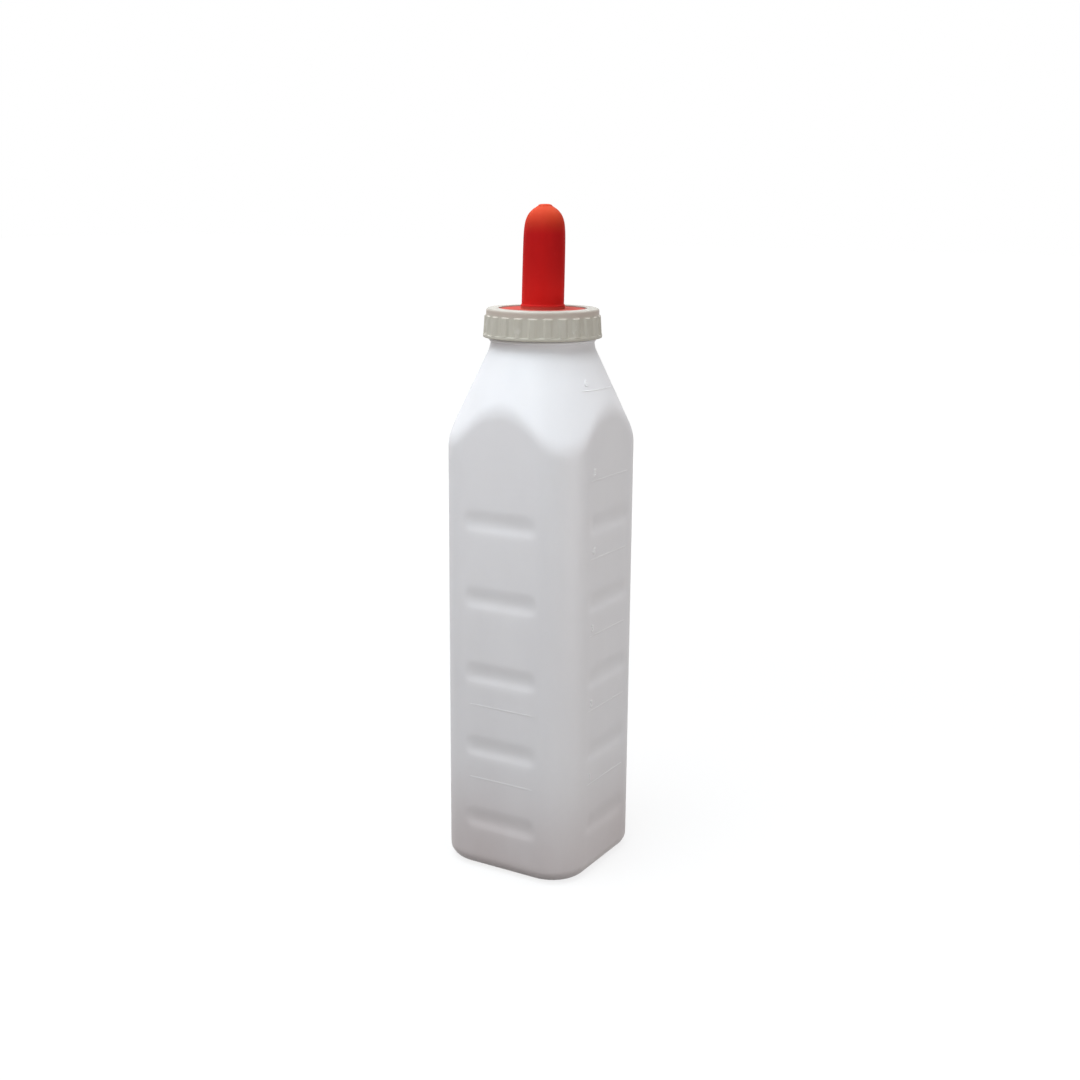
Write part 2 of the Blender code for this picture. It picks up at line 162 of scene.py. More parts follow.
def curvedProfile(points, steps):
    # a smooth line through every point
    smooth = []
    for i in range(len(points) - 1):
        a = Vector(points[max(i - 1, 0)])
        b, c = Vector(points[i]), Vector(points[i + 1])
        d = Vector(points[min(i + 2, len(points) - 1)])
        for k in range(steps):
            t = k / steps
            spot = 0.5 * (2 * b + (c - a) * t + (2 * a - 5 * b + 4 * c - d) * t * t
                          + (3 * b - a - 3 * c + d) * t ** 3)
            smooth.append((spot.x, spot.y))
    smooth.append(tuple(points[-1]))
    return smooth


# shared helpers for node trees

def addSockets(tree, inputs, outputs):
    for label, kind, value in inputs:
        socket = tree.interface.new_socket(label, in_out="INPUT", socket_type=kind)
        if value is not None:
            socket.default_value = value
    for label, kind in outputs:
        tree.interface.new_socket(label, in_out="OUTPUT", socket_type=kind)


def addNode(tree, kind, values=None, **settings):
    node = tree.nodes.new(kind)
    for key, value in settings.items():
        setattr(node, key, value)
    for key, value in (values or {}).items():
        if isinstance(value, bpy.types.NodeSocket):
            tree.links.new(value, node.inputs[key])
        else:
            node.inputs[key].default_value = value
    return node


def addMath(tree, operation, *values):
    return addNode(tree, "ShaderNodeMath", dict(enumerate(values)), operation=operation).outputs[0]


def addTaper(tree, share, least):
    # the scale along a curve: 1 in the middle, falling to the least one over this share at both ends
    along = addNode(tree, "GeometryNodeSplineParameter").outputs["Factor"]
    fromEnd = addMath(tree, "MINIMUM", along, addMath(tree, "SUBTRACT", 1.0, along))
    return addNode(tree, "ShaderNodeMapRange", {"Value": fromEnd, "From Max": share, "To Min": least},
                   interpolation_type="SMOOTHSTEP").outputs[0]


def finishTree(tree, geometry, material):
    whole = addNode(tree, "GeometryNodeRealizeInstances", {"Geometry": geometry}).outputs[0]
    whole = addNode(tree, "GeometryNodeSetMaterial", {"Geometry": whole, "Material": material}).outputs[0]
    addNode(tree, "NodeGroupOutput", {"Geometry": whole})
    return tree


def runTree(name, tree, values, material, source=None):
    # the tree's result becomes a plain mesh on an object without modifiers
    piece = newObject(name, source or bpy.data.meshes.new(name), material)
    modifier = piece.modifiers.new("shape", "NODES")
    modifier.node_group = tree
    values = dict(values, Material=material)
    for item in tree.interface.items_tree:
        if item.in_out == "INPUT" and item.name in values:
            modifier[item.identifier] = values[item.name]
    evaluated = piece.evaluated_get(bpy.context.evaluated_depsgraph_get())
    mesh = bpy.data.meshes.new_from_object(evaluated)
    piece.modifiers.clear()
    piece.data = mesh
    mesh.name = name
    mesh.materials.clear()
    mesh.materials.append(material)
    for face in mesh.polygons:
        face.material_index = 0
        face.use_smooth = True
    return piece


# shader groups that the materials share; each puts out masks and heights only

def makeCloudGroup():
    # soft uneven patches, drawn out along the height
    tree = bpy.data.node_groups.new("unevenCloud", "ShaderNodeTree")
    addSockets(tree,
               [("Vector", "NodeSocketVector", None), ("Scale", "NodeSocketFloat", 30.0),
                ("Stretch", "NodeSocketFloat", 0.3), ("Detail", "NodeSocketFloat", 3.0)],
               [("Mask", "NodeSocketFloat")])
    given = addNode(tree, "NodeGroupInput").outputs
    stretch = addNode(tree, "ShaderNodeCombineXYZ", {0: 1.0, 1: 1.0, 2: given["Stretch"]}).outputs[0]
    drawn = addNode(tree, "ShaderNodeVectorMath", {0: given["Vector"], 1: stretch},
                    operation="MULTIPLY").outputs[0]
    noise = addNode(tree, "ShaderNodeTexNoise",
                    {"Vector": drawn, "Scale": given["Scale"], "Detail": given["Detail"]}).outputs[0]
    spread = addNode(tree, "ShaderNodeMapRange", {"Value": noise, "From Min": 0.3, "From Max": 0.7},
                     interpolation_type="SMOOTHSTEP").outputs[0]
    addNode(tree, "NodeGroupOutput", {"Mask": spread})
    return tree


def makeGrainGroup():
    # the fine skin that a mould leaves: close grain on a slow ripple
    tree = bpy.data.node_groups.new("mouldGrain", "ShaderNodeTree")
    addSockets(tree,
               [("Vector", "NodeSocketVector", None), ("Grain Scale", "NodeSocketFloat", 900.0),
                ("Ripple Scale", "NodeSocketFloat", 60.0), ("Ripple", "NodeSocketFloat", 0.5)],
               [("Height", "NodeSocketFloat")])
    given = addNode(tree, "NodeGroupInput").outputs
    grain = addNode(tree, "ShaderNodeTexNoise",
                    {"Vector": given["Vector"], "Scale": given["Grain Scale"], "Detail": 2.0})
    ripple = addNode(tree, "ShaderNodeTexNoise",
                     {"Vector": given["Vector"], "Scale": given["Ripple Scale"], "Detail": 1.0})
    height = addMath(tree, "MULTIPLY_ADD", ripple.outputs[0], given["Ripple"], grain.outputs[0])
    addNode(tree, "NodeGroupOutput", {"Height": height})
    return tree


def makeRubGroup():
    # sparse thin rub marks from handling
    tree = bpy.data.node_groups.new("rubMarks", "ShaderNodeTree")
    addSockets(tree,
               [("Vector", "NodeSocketVector", None), ("Scale", "NodeSocketFloat", 40.0),
                ("Amount", "NodeSocketFloat", 0.1)],
               [("Mask", "NodeSocketFloat")])
    given = addNode(tree, "NodeGroupInput").outputs
    turned = addNode(tree, "ShaderNodeMapping", {"Vector": given["Vector"], "Rotation": (0.5, 0.3, 0.9),
                                                 "Scale": (1.0, 14.0, 3.0)}).outputs[0]
    lines = addNode(tree, "ShaderNodeTexNoise",
                    {"Vector": turned, "Scale": given["Scale"], "Detail": 4.0}).outputs[0]
    patch = addNode(tree, "ShaderNodeTexNoise",
                    {"Vector": given["Vector"], "Scale": given["Scale"], "Detail": 1.0}).outputs[0]
    thin = addNode(tree, "ShaderNodeMapRange", {"Value": lines, "From Min": 0.62, "From Max": 0.72})
    where = addNode(tree, "ShaderNodeMapRange", {"Value": patch, "From Min": 0.45, "From Max": 0.65})
    both = addMath(tree, "MULTIPLY", thin.outputs[0], where.outputs[0])
    addNode(tree, "NodeGroupOutput", {"Mask": addMath(tree, "MULTIPLY", both, given["Amount"])})
    return tree


cloudGroup = makeCloudGroup()
grainGroup = makeGrainGroup()
rubGroup = makeRubGroup()
bandUnevenness = 0.2         # how much of a band's colour is missing in the paler patches


def addGroup(tree, group, values):
    return addNode(tree, "ShaderNodeGroup", values, node_tree=group).outputs[0]


def mixColours(tree, factor, first, second):
    # a mix node takes colours at its inputs 6 and 7 and gives the mixture at its output 2
    first, second = [value if isinstance(value, bpy.types.NodeSocket) else (*value, 1.0)
                     for value in (first, second)]
    return addNode(tree, "ShaderNodeMix", {0: factor, 6: first, 7: second}, data_type="RGBA").outputs[2]


def mouldedMaterial(name, look):
    # every plastic and rubber here: uneven colour, uneven gloss, mould skin and faint rub marks
    material = bpy.data.materials.new(name)
    material.use_nodes = True
    tree = material.node_tree
    shader = tree.nodes["Principled BSDF"]
    place = addNode(tree, "ShaderNodeTexCoord").outputs["Object"]
    cloud = addGroup(tree, cloudGroup, {"Vector": place, "Scale": look["cloudScale"],
                                        "Stretch": look["cloudStretch"]})
    rubs = addGroup(tree, rubGroup, {"Vector": place, "Scale": look["rubScale"], "Amount": look["rubAmount"]})
    colour = mixColours(tree, cloud, look["colour"], look["cloudColour"])
    colour = mixColours(tree, rubs, colour, look["rubColour"])
    for bandColour, start, end in look.get("bands", ()):
        # the colour changes with the height, from none at start to all at end; several of these bands are
        # painted light or shade
        level = addNode(tree, "ShaderNodeSeparateXYZ", {0: place}).outputs[2]
        share = addNode(tree, "ShaderNodeMapRange", {"Value": level, "From Min": start, "From Max": end},
                        interpolation_type="SMOOTHSTEP").outputs[0]
        share = addMath(tree, "MULTIPLY", share, addMath(tree, "MULTIPLY_ADD", cloud, -bandUnevenness, 1.0))
        colour = mixColours(tree, share, colour, bandColour)
    tree.links.new(colour, shader.inputs["Base Color"])
    gloss = addNode(tree, "ShaderNodeMapRange", {"Value": cloud, "To Min": look["roughness"][0],
                                                 "To Max": look["roughness"][1]}).outputs[0]
    gloss = addMath(tree, "MULTIPLY_ADD", rubs, look["rubRoughness"], gloss)
    tree.links.new(gloss, shader.inputs["Roughness"])
    height = addGroup(tree, grainGroup, {"Vector": place, "Grain Scale": look["grainScale"],
                                         "Ripple Scale": look["rippleScale"], "Ripple": look["ripple"]})
    bump = addNode(tree, "ShaderNodeBump", {"Height": height, "Strength": look["bumpStrength"],
                                            "Distance": look["bumpDistance"]})
    tree.links.new(bump.outputs[0], shader.inputs["Normal"])
    for key, value in look["shader"].items():
        shader.inputs[key].default_value = value
    return material


milkyPlastic = mouldedMaterial("milkyPlastic", {
    "colour": (0.808, 0.803, 0.816), "cloudColour": (0.838, 0.834, 0.845), "rubColour": (0.87, 0.87, 0.87),
    "bands": (((0.630, 0.578, 0.572), 0.090, 0.000),),      # painted shade: darker and warmer near the foot, where less light reaches
    "cloudScale": 26.0, "cloudStretch": 0.35,
    "roughness": (0.44, 0.52), "rubRoughness": 0.03, "rubScale": 22.0, "rubAmount": 0.03,
    "grainScale": 1500.0, "rippleScale": 55.0, "ripple": 3.0,
    "bumpStrength": 0.25, "bumpDistance": 0.00012,
    "shader": {"IOR": 1.50, "Subsurface Weight": 0.30, "Subsurface Radius": (1.0, 0.96, 0.92),
               "Subsurface Scale": 0.0025},
})
# painted light: the bottle's own plastic made paler, so that the thin raised lines and digits look as bright
# as where they catch the light
paintedBrightMarkPlastic = mouldedMaterial("paintedBrightMarkPlastic", {
    "colour": (0.890, 0.888, 0.896), "cloudColour": (0.910, 0.908, 0.914), "rubColour": (0.95, 0.95, 0.95),
    "cloudScale": 60.0, "cloudStretch": 1.0,
    "roughness": (0.34, 0.40), "rubRoughness": 0.10, "rubScale": 40.0, "rubAmount": 0.20,
    "grainScale": 1500.0, "rippleScale": 90.0, "ripple": 1.0,
    "bumpStrength": 0.10, "bumpDistance": 0.00005,
    "shader": {"IOR": 1.50, "Subsurface Weight": 0.20, "Subsurface Radius": (1.0, 0.97, 0.94),
               "Subsurface Scale": 0.0015},
})
ringPlastic = mouldedMaterial("ringPlastic", {
    "colour": (0.470, 0.445, 0.377), "cloudColour": (0.500, 0.477, 0.411), "rubColour": (0.72, 0.71, 0.67),
    "bands": (((0.470, 0.400, 0.345), 0.3655, 0.3685),      # pinker, as if the red flange showed through,
              ((0.470, 0.452, 0.400), 0.3700, 0.3712)),     # and plain again on the flat top
    "cloudScale": 60.0, "cloudStretch": 1.0,
    "roughness": (0.46, 0.56), "rubRoughness": 0.15, "rubScale": 60.0, "rubAmount": 0.35,
    "grainScale": 2200.0, "rippleScale": 150.0, "ripple": 1.5,
    "bumpStrength": 0.30, "bumpDistance": 0.00006,
    "shader": {"IOR": 1.49, "Subsurface Weight": 0.10, "Subsurface Radius": (1.0, 0.9, 0.8),
               "Subsurface Scale": 0.0015},
})
redRubber = mouldedMaterial("redRubber", {
    "colour": (0.455, 0.0045, 0.0055), "cloudColour": (0.500, 0.0075, 0.0070),
    "rubColour": (0.66, 0.05, 0.045),
    "bands": (((0.550, 0.0100, 0.0080), 0.4080, 0.3800),    # painted light, brighter towards the collar as if lit from the ring below,
              ((0.600, 0.064, 0.022), 0.4165, 0.4335),      # painted highlight, paler and more orange on the top-lit tip,
              ((0.500, 0.075, 0.055), 0.3735, 0.3715)),     # and painted reflection, paler on the flange as if it caught the white around it at a glancing angle
    "cloudScale": 70.0, "cloudStretch": 0.5,
    "roughness": (0.62, 0.70), "rubRoughness": 0.12, "rubScale": 70.0, "rubAmount": 0.30,
    "grainScale": 1800.0, "rippleScale": 120.0, "ripple": 2.0,
    "bumpStrength": 0.30, "bumpDistance": 0.00008,
    "shader": {"IOR": 1.50, "Specular IOR Level": 0.10, "Subsurface Weight": 0.10,
               "Subsurface Radius": (1.0, 0.12, 0.08), "Subsurface Scale": 0.0020},
})
print("materials made")

# bottle, one blown shell with its inside
bottleShape = {
    "half": 0.0510,              # half the width across two flat faces
    "corner": 0.0255,
    "heel": 0.0090,
    "wall": 0.0013,
    "panelEdge": 0.0330,         # half width of the raised panel under the bottle, at its edge
    "panelSlope": 0.0080,
    "panelRise": 0.0060,
    "panelCorner": 0.0100,
    "panelRings": ((0.003, 0.0015), (0.008, 0.004), (0.015, 0.007), (0.021, 0.009)),   # half width, corner
    "pinchDepth": 0.0005,        # of the line that the blow mould leaves across the panel
    "pinchHalf": 0.0009,
    "pinchFade": (0.036, 0.026), # the line runs out between these distances from the middle
    "neckBase": 0.34717,
    "neckRadius": 0.0335,
    "neckBore": 0.0315,
    "neckFillet": 0.0012,
    "lip": 0.36637,
    "lipRound": 0.0005,
    "coneSlope": math.tan(math.radians(25.45)),
    "coneFrom": 0.25,            # the cone stays above this height and the grips below it
    "archBlend": 0.0028,         # how softly the cone meets the flat faces
    "beadTop": 0.35237,
    "beadHeight": 0.0020,
    "beadProud": 0.0009,
    "gripHeights": (0.0360, 0.0867, 0.1374, 0.1881, 0.2388),
    "gripHalf": 0.0200,          # half the length of a grip's middle line
    "gripReach": 0.0092,         # from that line to where the grip runs out
    "gripDepth": 0.0008,
    "gripLow": 0.0014,           # how far the deepest line lies below the grip's middle
    "seamAngles": (math.radians(45), math.radians(225)),
    "seamProud": 0.00012,
    "seamHalf": 0.00050,
    "seamColumns": (-0.47, -0.23, 0.23, 0.47),   # extra columns beside each seam, in degrees
    "columns": 256,
    "shoulderFrom": 0.282,       # where the rows get closer for the shoulder,
    "neckFrom": 0.344,           # and for the neck
    "outerSteps": (0.0010, 0.0026, 0.0014, 0.0007),   # between rows at grips, plain wall, shoulder, neck
    "innerSteps": (0.0022, 0.0080, 0.0040, 0.0040),
    "finishStep": 0.0020,        # above the bead
    "belowBead": 0.0004,         # from the bead's edges to the next rows
    "aboveBead": 0.0006,
    "beadRows": 10,
    "heelRows": 9,
    "innerHeelRows": 5,
    "slopeRows": 8,
    "landRows": 4,
}


def squareReach(angle, half, corner):
    fold = abs((angle + math.pi / 4) % (math.pi / 2) - math.pi / 4)
    side = half - corner
    if half * math.tan(fold) <= side:
        return half / math.cos(fold)
    along = side * (math.cos(fold) + math.sin(fold))
    across = side * (math.cos(fold) - math.sin(fold))
    return along + math.sqrt(max(corner * corner - across * across, 0.0))


def gripSink(across, height):
    # the lower slope of a grip is the shorter and steeper one
    shape = bottleShape
    past = max(abs(across) - shape["gripHalf"], 0.0) / shape["gripReach"]
    for middle in shape["gripHeights"]:
        rise = height - middle + shape["gripLow"]
        reach = shape["gripReach"] + math.copysign(shape["gripLow"], rise)
        away = math.hypot(past, rise / reach)
        if away < 1:
            return shape["gripDepth"] * math.cos(math.pi / 2 * away) ** 2
    return 0.0


def seamRise(angle, reach):
    rise = 0.0
    for seam in bottleShape["seamAngles"]:
        away = abs(reach * math.sin(angle - seam)) if math.cos(angle - seam) > 0 else 1.0
        rise = max(rise, 1 - away / bottleShape["seamHalf"])
    return bottleShape["seamProud"] * rise


def coneRadius(height):
    return bottleShape["neckRadius"] + (bottleShape["neckBase"] - height) * bottleShape["coneSlope"]


def wallPoint(angle, height, inset, drop=0.0):
    # inset is the distance in from the outer face, drop the extra that the rounded heel takes off
    shape = bottleShape
    half = shape["half"] - inset - drop
    reach = squareReach(angle, half, shape["corner"] - inset - drop)
    if height > shape["coneFrom"]:
        cone = coneRadius(height) - inset * math.hypot(1, shape["coneSlope"])
        reach = smoothMin(reach, cone, shape["archBlend"])
        neck = shape["neckBore"] if inset else shape["neckRadius"]
        reach = smoothMax(reach, neck, shape["neckFillet"])
    if not inset:
        up = (height - shape["beadTop"] + shape["beadHeight"] / 2) / (shape["beadHeight"] / 2)
        if abs(up) < 1:
            reach += shape["beadProud"] * math.sqrt(1 - up * up)
        if height < shape["beadTop"]:
            reach += seamRise(angle, reach)
    face = round(angle / (math.pi / 2)) * math.pi / 2
    out = reach * math.cos(angle - face)
    across = reach * math.sin(angle - face)
    if height < shape["coneFrom"]:
        out -= gripSink(across, height)
    return (out * math.cos(face) - across * math.sin(face),
            out * math.sin(face) + across * math.cos(face), height)


def wallHeights(start, end, steps):
    shape = bottleShape
    gripStep, plainStep, shoulderStep, neckStep = steps
    heights = []
    height = start
    while height < end - 1e-6:
        heights.append(height)
        if any(abs(height - g) < shape["gripReach"] for g in shape["gripHeights"]):
            step = gripStep
        elif height < shape["shoulderFrom"]:
            step = plainStep
        elif height < shape["neckFrom"]:
            step = shoulderStep
        else:
            step = neckStep
        height += step
    heights.append(end)
    return heights


def basePoint(angle, half, corner, height, pinched):
    shape = bottleShape
    reach = squareReach(angle, half, corner)
    if pinched:
        away = abs(reach * math.sin(angle - shape["seamAngles"][0]))
        height -= (shape["pinchDepth"] * max(0.0, 1 - away / shape["pinchHalf"])
                   * smoothStep(*shape["pinchFade"], reach))
    return (reach * math.cos(angle), reach * math.sin(angle), height)


def baseRings(floor):
    # from the middle of the raised panel out over its slope to the foot's land
    shape = bottleShape
    edge, rounded = shape["panelEdge"], shape["panelCorner"]
    rings = [(half, corner, shape["panelRise"]) for half, corner in shape["panelRings"]]
    inner = edge - shape["panelSlope"]
    for i in range(shape["slopeRows"] + 1):
        share = i / shape["slopeRows"]
        rings.append((inner + shape["panelSlope"] * share, rounded,
                      shape["panelRise"] * (1 - smoothStep(0, 1, share))))
    flat = shape["half"] - shape["heel"]
    for i in range(1, shape["landRows"]):
        share = i / shape["landRows"]
        rings.append((edge + (flat - edge) * share,
                      rounded + (shape["corner"] - shape["heel"] - rounded) * share, 0.0))
    return [(half, corner, height + floor) for half, corner, height in rings]


def makeBottle():
    shape = bottleShape
    extra = [seam + math.radians(side) for seam in shape["seamAngles"] for side in shape["seamColumns"]]
    angles = evenAngles(shape["columns"], extra)
    wall, heel = shape["wall"], shape["heel"]
    rows = [[(0.0, 0.0, shape["panelRise"])]]
    for half, corner, height in baseRings(0.0):
        rows.append([basePoint(a, half, corner, height, True) for a in angles])
    for i in range(shape["heelRows"]):
        turn = math.pi / 2 * i / shape["heelRows"]
        drop = heel * (1 - math.sin(turn))
        rows.append([wallPoint(a, heel * (1 - math.cos(turn)), 0.0, drop) for a in angles])
    beadFoot = shape["beadTop"] - shape["beadHeight"]
    heights = wallHeights(heel, beadFoot - shape["belowBead"], shape["outerSteps"])
    heights += [beadFoot + shape["beadHeight"] * (1 - math.cos(math.pi * i / shape["beadRows"])) / 2
                for i in range(shape["beadRows"] + 1)]
    lip, edge = shape["lip"], shape["lipRound"]
    heights += wallHeights(shape["beadTop"] + shape["aboveBead"], lip - edge, (shape["finishStep"],) * 4)
    for height in heights:
        rows.append([wallPoint(a, height, 0.0) for a in angles])
    cut = edge * 0.3         # what the lip's rounding takes off at its middle
    for radius, height in ((shape["neckRadius"] - cut, lip - cut), (shape["neckRadius"] - edge, lip),
                           (shape["neckBore"] + edge, lip), (shape["neckBore"] + cut, lip - cut),
                           (shape["neckBore"], lip - edge)):
        rows += turnedRows([(radius, height)], angles)
    for height in reversed(wallHeights(heel, lip - 4 * edge, shape["innerSteps"])):
        rows.append([wallPoint(a, height, wall) for a in angles])
    innerHeel = heel - wall
    for i in range(1, shape["innerHeelRows"] + 1):
        turn = math.pi / 2 * i / shape["innerHeelRows"]
        drop = innerHeel * (1 - math.cos(turn))
        rows.append([wallPoint(a, heel - innerHeel * math.sin(turn), wall, drop) for a in angles])
    for half, corner, height in reversed(baseRings(wall)):
        rows.append([basePoint(a, half, corner, height, False) for a in angles])
    rows.append([(0.0, 0.0, shape["panelRise"] + wall)])
    return newObject("bottleShell", loftRows("bottleShell", rows), milkyPlastic)


bottleShell = makeBottle()
print("bottle shell:", len(bottleShell.data.polygons), "faces")


# level lines, thin and raised, one for each step up a face
def makeLineTree():
    tree = bpy.data.node_groups.new("raisedLines", "GeometryNodeTree")
    addSockets(tree,
               [("Geometry", "NodeSocketGeometry", None), ("First Height", "NodeSocketFloat", 0.06),
                ("Step", "NodeSocketFloat", 0.05), ("Count", "NodeSocketInt", 5),
                ("Left End", "NodeSocketFloat", -0.02), ("Right End", "NodeSocketFloat", 0.02),
                ("Line Width", "NodeSocketFloat", 0.0008), ("Line Height", "NodeSocketFloat", 0.0002),
                ("Wall", "NodeSocketFloat", 0.05),
                ("Face Turn", "NodeSocketFloat", 0.0), ("Material", "NodeSocketMaterial", None)],
               [("Geometry", "NodeSocketGeometry")])
    given = addNode(tree, "NodeGroupInput").outputs
    left = addNode(tree, "ShaderNodeCombineXYZ", {1: given["Left End"]}).outputs[0]
    right = addNode(tree, "ShaderNodeCombineXYZ", {1: given["Right End"]}).outputs[0]
    line = addNode(tree, "GeometryNodeCurvePrimitiveLine", {"Start": left, "End": right}).outputs[0]
    line = addNode(tree, "GeometryNodeResampleCurve", {"Curve": line, "Count": 65}).outputs[0]
    taper = addTaper(tree, share=0.03, least=0.3)
    profile = addNode(tree, "GeometryNodeCurvePrimitiveCircle", {"Resolution": 16, "Radius": 1.0}).outputs[0]
    half = addMath(tree, "MULTIPLY", given["Line Width"], 0.5)
    size = addNode(tree, "ShaderNodeCombineXYZ", {0: given["Line Height"], 1: half, 2: 1.0}).outputs[0]
    profile = addNode(tree, "GeometryNodeTransform", {"Geometry": profile, "Scale": size}).outputs[0]
    bar = addNode(tree, "GeometryNodeCurveToMesh", {"Curve": line, "Profile Curve": profile, "Scale": taper,
                                                    "Fill Caps": True}).outputs[0]
    first = addNode(tree, "ShaderNodeCombineXYZ", {0: given["Wall"], 2: given["First Height"]}).outputs[0]
    step = addNode(tree, "ShaderNodeCombineXYZ", {2: given["Step"]}).outputs[0]
    marks = addNode(tree, "GeometryNodeMeshLine", {"Count": given["Count"], "Start Location": first,
                                                   "Offset": step}).outputs[0]
    bars = addNode(tree, "GeometryNodeInstanceOnPoints", {"Points": marks, "Instance": bar}).outputs[0]
    turn = addNode(tree, "ShaderNodeCombineXYZ", {2: given["Face Turn"]}).outputs[0]
    bars = addNode(tree, "GeometryNodeTransform", {"Geometry": bars, "Rotation": turn}).outputs[0]
    return finishTree(tree, bars, given["Material"])


# one ridge with tapered ends that winds round a wall, such as a thread or the line on the cone
def makeRidgeTree():
    tree = bpy.data.node_groups.new("windingRidge", "GeometryNodeTree")
    addSockets(tree,
               [("Geometry", "NodeSocketGeometry", None), ("Wall Radius", "NodeSocketFloat", 0.03),
                ("Start Height", "NodeSocketFloat", 0.0), ("Start Angle", "NodeSocketFloat", 0.0),
                ("Turns", "NodeSocketFloat", 1.0), ("Pitch", "NodeSocketFloat", 0.005),
                ("Root Width", "NodeSocketFloat", 0.0024), ("Crest Width", "NodeSocketFloat", 0.0011),
                ("Depth", "NodeSocketFloat", 0.0011), ("Sink", "NodeSocketFloat", 0.0002),
                ("Facing", "NodeSocketFloat", -math.pi / 2), ("End Share", "NodeSocketFloat", 0.06),
                ("Material", "NodeSocketMaterial", None)],
               [("Geometry", "NodeSocketGeometry")])
    given = addNode(tree, "NodeGroupInput").outputs
    rise = addMath(tree, "MULTIPLY", given["Pitch"], given["Turns"])
    path = addNode(tree, "GeometryNodeCurveSpiral",
                   {"Resolution": 360, "Rotations": given["Turns"], "Start Radius": given["Wall Radius"],
                    "End Radius": given["Wall Radius"], "Height": rise, "Reverse": True}).outputs[0]
    path = addNode(tree, "GeometryNodeSetCurveNormal", {"Curve": path}, mode="Z_UP").outputs[0]
    taper = addTaper(tree, given["End Share"], least=0.08)
    tall = addMath(tree, "ADD", given["Depth"], given["Sink"])
    profile = addNode(tree, "GeometryNodeCurvePrimitiveQuadrilateral",
                      {"Bottom Width": given["Root Width"], "Top Width": given["Crest Width"], "Height": tall,
                       "Offset": 0.0}, mode="TRAPEZOID").outputs[0]
    middle = addMath(tree, "SUBTRACT", addMath(tree, "MULTIPLY", tall, 0.5), given["Sink"])
    lift = addNode(tree, "ShaderNodeCombineXYZ", {1: middle}).outputs[0]
    profile = addNode(tree, "GeometryNodeTransform", {"Geometry": profile, "Translation": lift}).outputs[0]
    facing = addNode(tree, "ShaderNodeCombineXYZ", {2: given["Facing"]}).outputs[0]
    profile = addNode(tree, "GeometryNodeTransform", {"Geometry": profile, "Rotation": facing}).outputs[0]
    ridge = addNode(tree, "GeometryNodeCurveToMesh", {"Curve": path, "Profile Curve": profile, "Scale": taper,
                                                      "Fill Caps": True}).outputs[0]
    start = addNode(tree, "ShaderNodeCombineXYZ", {2: given["Start Height"]}).outputs[0]
    turn = addNode(tree, "ShaderNodeCombineXYZ", {2: given["Start Angle"]}).outputs[0]
    ridge = addNode(tree, "GeometryNodeTransform", {"Geometry": ridge, "Translation": start,
                                                    "Rotation": turn}).outputs[0]
    return finishTree(tree, ridge, given["Material"])


lineTree = makeLineTree()
ridgeTree = makeRidgeTree()

graduations = {
    "First Height": 0.0645,
    "Step": 0.0507,
    "Count": 5,
    "Line Width": 0.00085,
    "Line Height": 0.00010,
    "Wall": bottleShape["half"],
}
levelLines = runTree("levelLines", lineTree, dict(graduations, **{"Left End": -0.0252, "Right End": 0.0236}),
                     paintedBrightMarkPlastic)
frontLines = runTree("frontLines", lineTree,
                     dict(graduations, **{"Count": 2, "Left End": -0.0236, "Right End": 0.0248,
                                          "Face Turn": -math.pi / 2}), paintedBrightMarkPlastic)
coneMark = {
    "Start Height": 0.3225,
    "Start Angle": math.radians(-27),
    "Turns": 46 / 360,
    "Pitch": 0.0,
    "Root Width": 0.0009,
    "Crest Width": 0.0004,
    "Depth": 0.00018,
    "Sink": 0.0003,
    "End Share": 0.03,
}
shoulderLine = runTree("shoulderLine", ridgeTree,
                       dict(coneMark, **{"Wall Radius": coneRadius(coneMark["Start Height"])}), paintedBrightMarkPlastic)

neckThread = {
    "Wall Radius": bottleShape["neckRadius"],
    "Start Height": 0.357026,
    "Start Angle": math.radians(93),
    "Turns": 1.249,
    "Pitch": 0.00508,
    "Root Width": 0.0024,
    "Crest Width": 0.0011,
    "Depth": 0.0011,
    "Sink": 0.0002,
    "End Share": 0.06,
}
neckRidge = runTree("neckThread", ridgeTree, neckThread, milkyPlastic)
print("lines and neck thread made")

# digits, plain raised numbers just above the left end of each line
digits = {
    "height": 0.0048,
    "left": -0.0220,             # where a digit starts on the flat face
    "above": 0.0026,             # from the line to the digit's foot
    "thick": 0.00055,
    "sunk": 0.00025,
    "weight": 0.022,             # thickening and rounding of the strokes, for a letter height of about 1
    "softEdge": 0.015,
    "coneTurn": 0.09,            # radians from the start of the cone's line to its digit
}


def digitMesh(text):
    curve = bpy.data.curves.new("digit", "FONT")
    curve.body = text
    curve.size = 1.0
    curve.extrude = 0.02
    curve.offset = digits["weight"]
    curve.bevel_depth = digits["softEdge"]
    curve.resolution_u = 6
    shown = bpy.data.objects.new("digit", curve)
    scene.collection.objects.link(shown)
    evaluated = shown.evaluated_get(bpy.context.evaluated_depsgraph_get())
    mesh = bpy.data.meshes.new_from_object(evaluated)
    bpy.data.objects.remove(shown)
    points = [v.co.copy() for v in mesh.vertices]
    low = Vector([min(p[i] for p in points) for i in range(3)])
    high = Vector([max(p[i] for p in points) for i in range(3)])
    size = digits["height"] / (high.y - low.y)
    for vertex in mesh.vertices:
        p = vertex.co - low
        vertex.co = (p.x * size, p.y * size, p.z / (high.z - low.z) * digits["thick"] - digits["sunk"])
    return mesh


